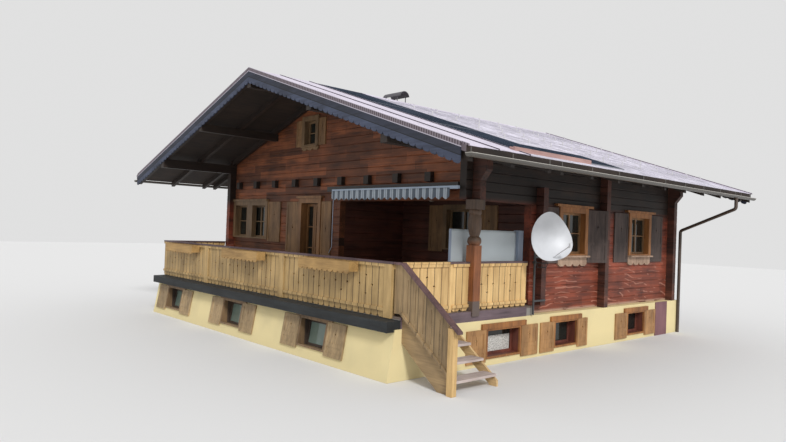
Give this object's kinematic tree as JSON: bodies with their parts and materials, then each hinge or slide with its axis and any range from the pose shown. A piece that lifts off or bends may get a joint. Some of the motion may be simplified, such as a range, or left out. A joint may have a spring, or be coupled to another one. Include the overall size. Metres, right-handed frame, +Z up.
{
  "type": "alpine chalet",
  "caption": "Timber chalet with log walls on a plastered plinth, a wide shallow gable roof, a corner loggia, a front terrace with a plank railing and a side stair.",
  "frame": {"origin": "on the ground, below the middle of the roof in plan", "axes": "+Z up, the gable front with the terrace faces -Y, the wall with the side stair faces +X"},
  "size_m": [14.32, 12.33, 6.84],
  "materials": {
    "plaster": "rough painted plaster",
    "concrete": "cast concrete",
    "log_wood": "stained logs",
    "inner_wood": "plain timber",
    "joinery": "varnished timber",
    "shutter_honey": "varnished boards",
    "shutter_grey": "weathered boards",
    "rail_wood": "varnished planks",
    "cap_wood": "painted timber",
    "dark_beam": "dark stained timber",
    "edge_board": "painted timber",
    "deck_wood": "weathered boards",
    "barge_paint": "painted boards",
    "roof_cover": "weathered shingles on boards",
    "stair_wood": "weathered boards",
    "post_wood": "varnished turned timber",
    "box_wood": "stained boards",
    "panel_paint": "painted boards",
    "chimney_plaster": "plaster",
    "sheet_metal": "aged sheet",
    "gutter_metal": "aged sheet",
    "dish_metal": "satin",
    "hinge_metal": "dull steel",
    "awning_metal": "satin",
    "screen_metal": "satin",
    "collector_glass": "glazed collectors in thin frames",
    "pane": "clear, dark rooms behind",
    "awning_cloth": "striped cloth",
    "screen_cloth": "plain cloth"
  },
  "bodies": {
    "house": {"plinth_front": "plaster", "plinth_sides": "plaster", "plinth_back": "plaster", "floor_slab": "concrete", "floor_boards": "inner_wood", "terrace_deck": "deck_wood", "deck_edge_boards": "edge_board", "terrace_beam": "dark_beam", "front_wall_left": "log_wood", "front_wall_right": "log_wood", "front_gable": "log_wood", "loggia_side_wall": "log_wood", "loggia_back_wall": "log_wood", "loggia_header": "log_wood", "right_wall": "log_wood", "left_wall": "log_wood", "back_wall": "log_wood", "cross_log_ends": "log_wood", "attic_floor": "inner_wood", "roof_right": "roof_cover", "roof_left": "roof_cover", "ridge_cap": "sheet_metal", "purlins": "inner_wood", "rafters": "inner_wood", "barge_boards": "barge_paint", "gutters": "gutter_metal", "downpipes": "gutter_metal", "chimney": "chimney_plaster", "chimney_cap": "sheet_metal", "solar_collectors": "collector_glass", "house_windows": "joinery", "front_windows": "joinery", "window_glass": "pane", "side_shutters": "shutter_grey", "front_shutters": "shutter_honey", "cellar_shutters": "shutter_honey", "side_panel": "panel_paint", "hinge_pins": "hinge_metal", "door_casing": "joinery", "front_railing": "rail_wood", "side_railings": "rail_wood", "rail_caps": "cap_wood", "stair_treads": "stair_wood", "stair_stringers": "stair_wood", "stair_balustrade": "rail_wood", "carved_post": "post_wood", "flower_boxes": "box_wood", "awning_frame": "awning_metal", "awning_cloth": "awning_cloth", "screen_posts": "screen_metal", "screen_cloth": "screen_cloth", "satellite_dish": "dish_metal"},
    "gate_leaf": {"gate": "rail_wood", "gate_hinges": "hinge_metal"},
    "door_leaf_left": {"terrace_door_left": "joinery", "door_glass_left": "pane", "door_hinges_left": "hinge_metal"},
    "door_leaf_right": {"terrace_door_right": "joinery", "door_glass_right": "pane", "door_hinges_right": "hinge_metal"}
  },
  "joints": [
    {"name": "gate_hinge", "type": "hinge", "parent": "house", "child": "gate_leaf", "pos_m": [5.128, -4.469, 1.6], "axis": [0, 0, 1], "range_deg": [-90, 0]},
    {"name": "door_hinge_left", "type": "hinge", "parent": "house", "child": "door_leaf_left", "pos_m": [-1.049, -3.543, 2.2], "axis": [0, 0, 1], "range_deg": [0, 95]},
    {"name": "door_hinge_right", "type": "hinge", "parent": "house", "child": "door_leaf_right", "pos_m": [-0.291, -3.543, 2.2], "axis": [0, 0, 1], "range_deg": [-95, 0]}
  ]
}
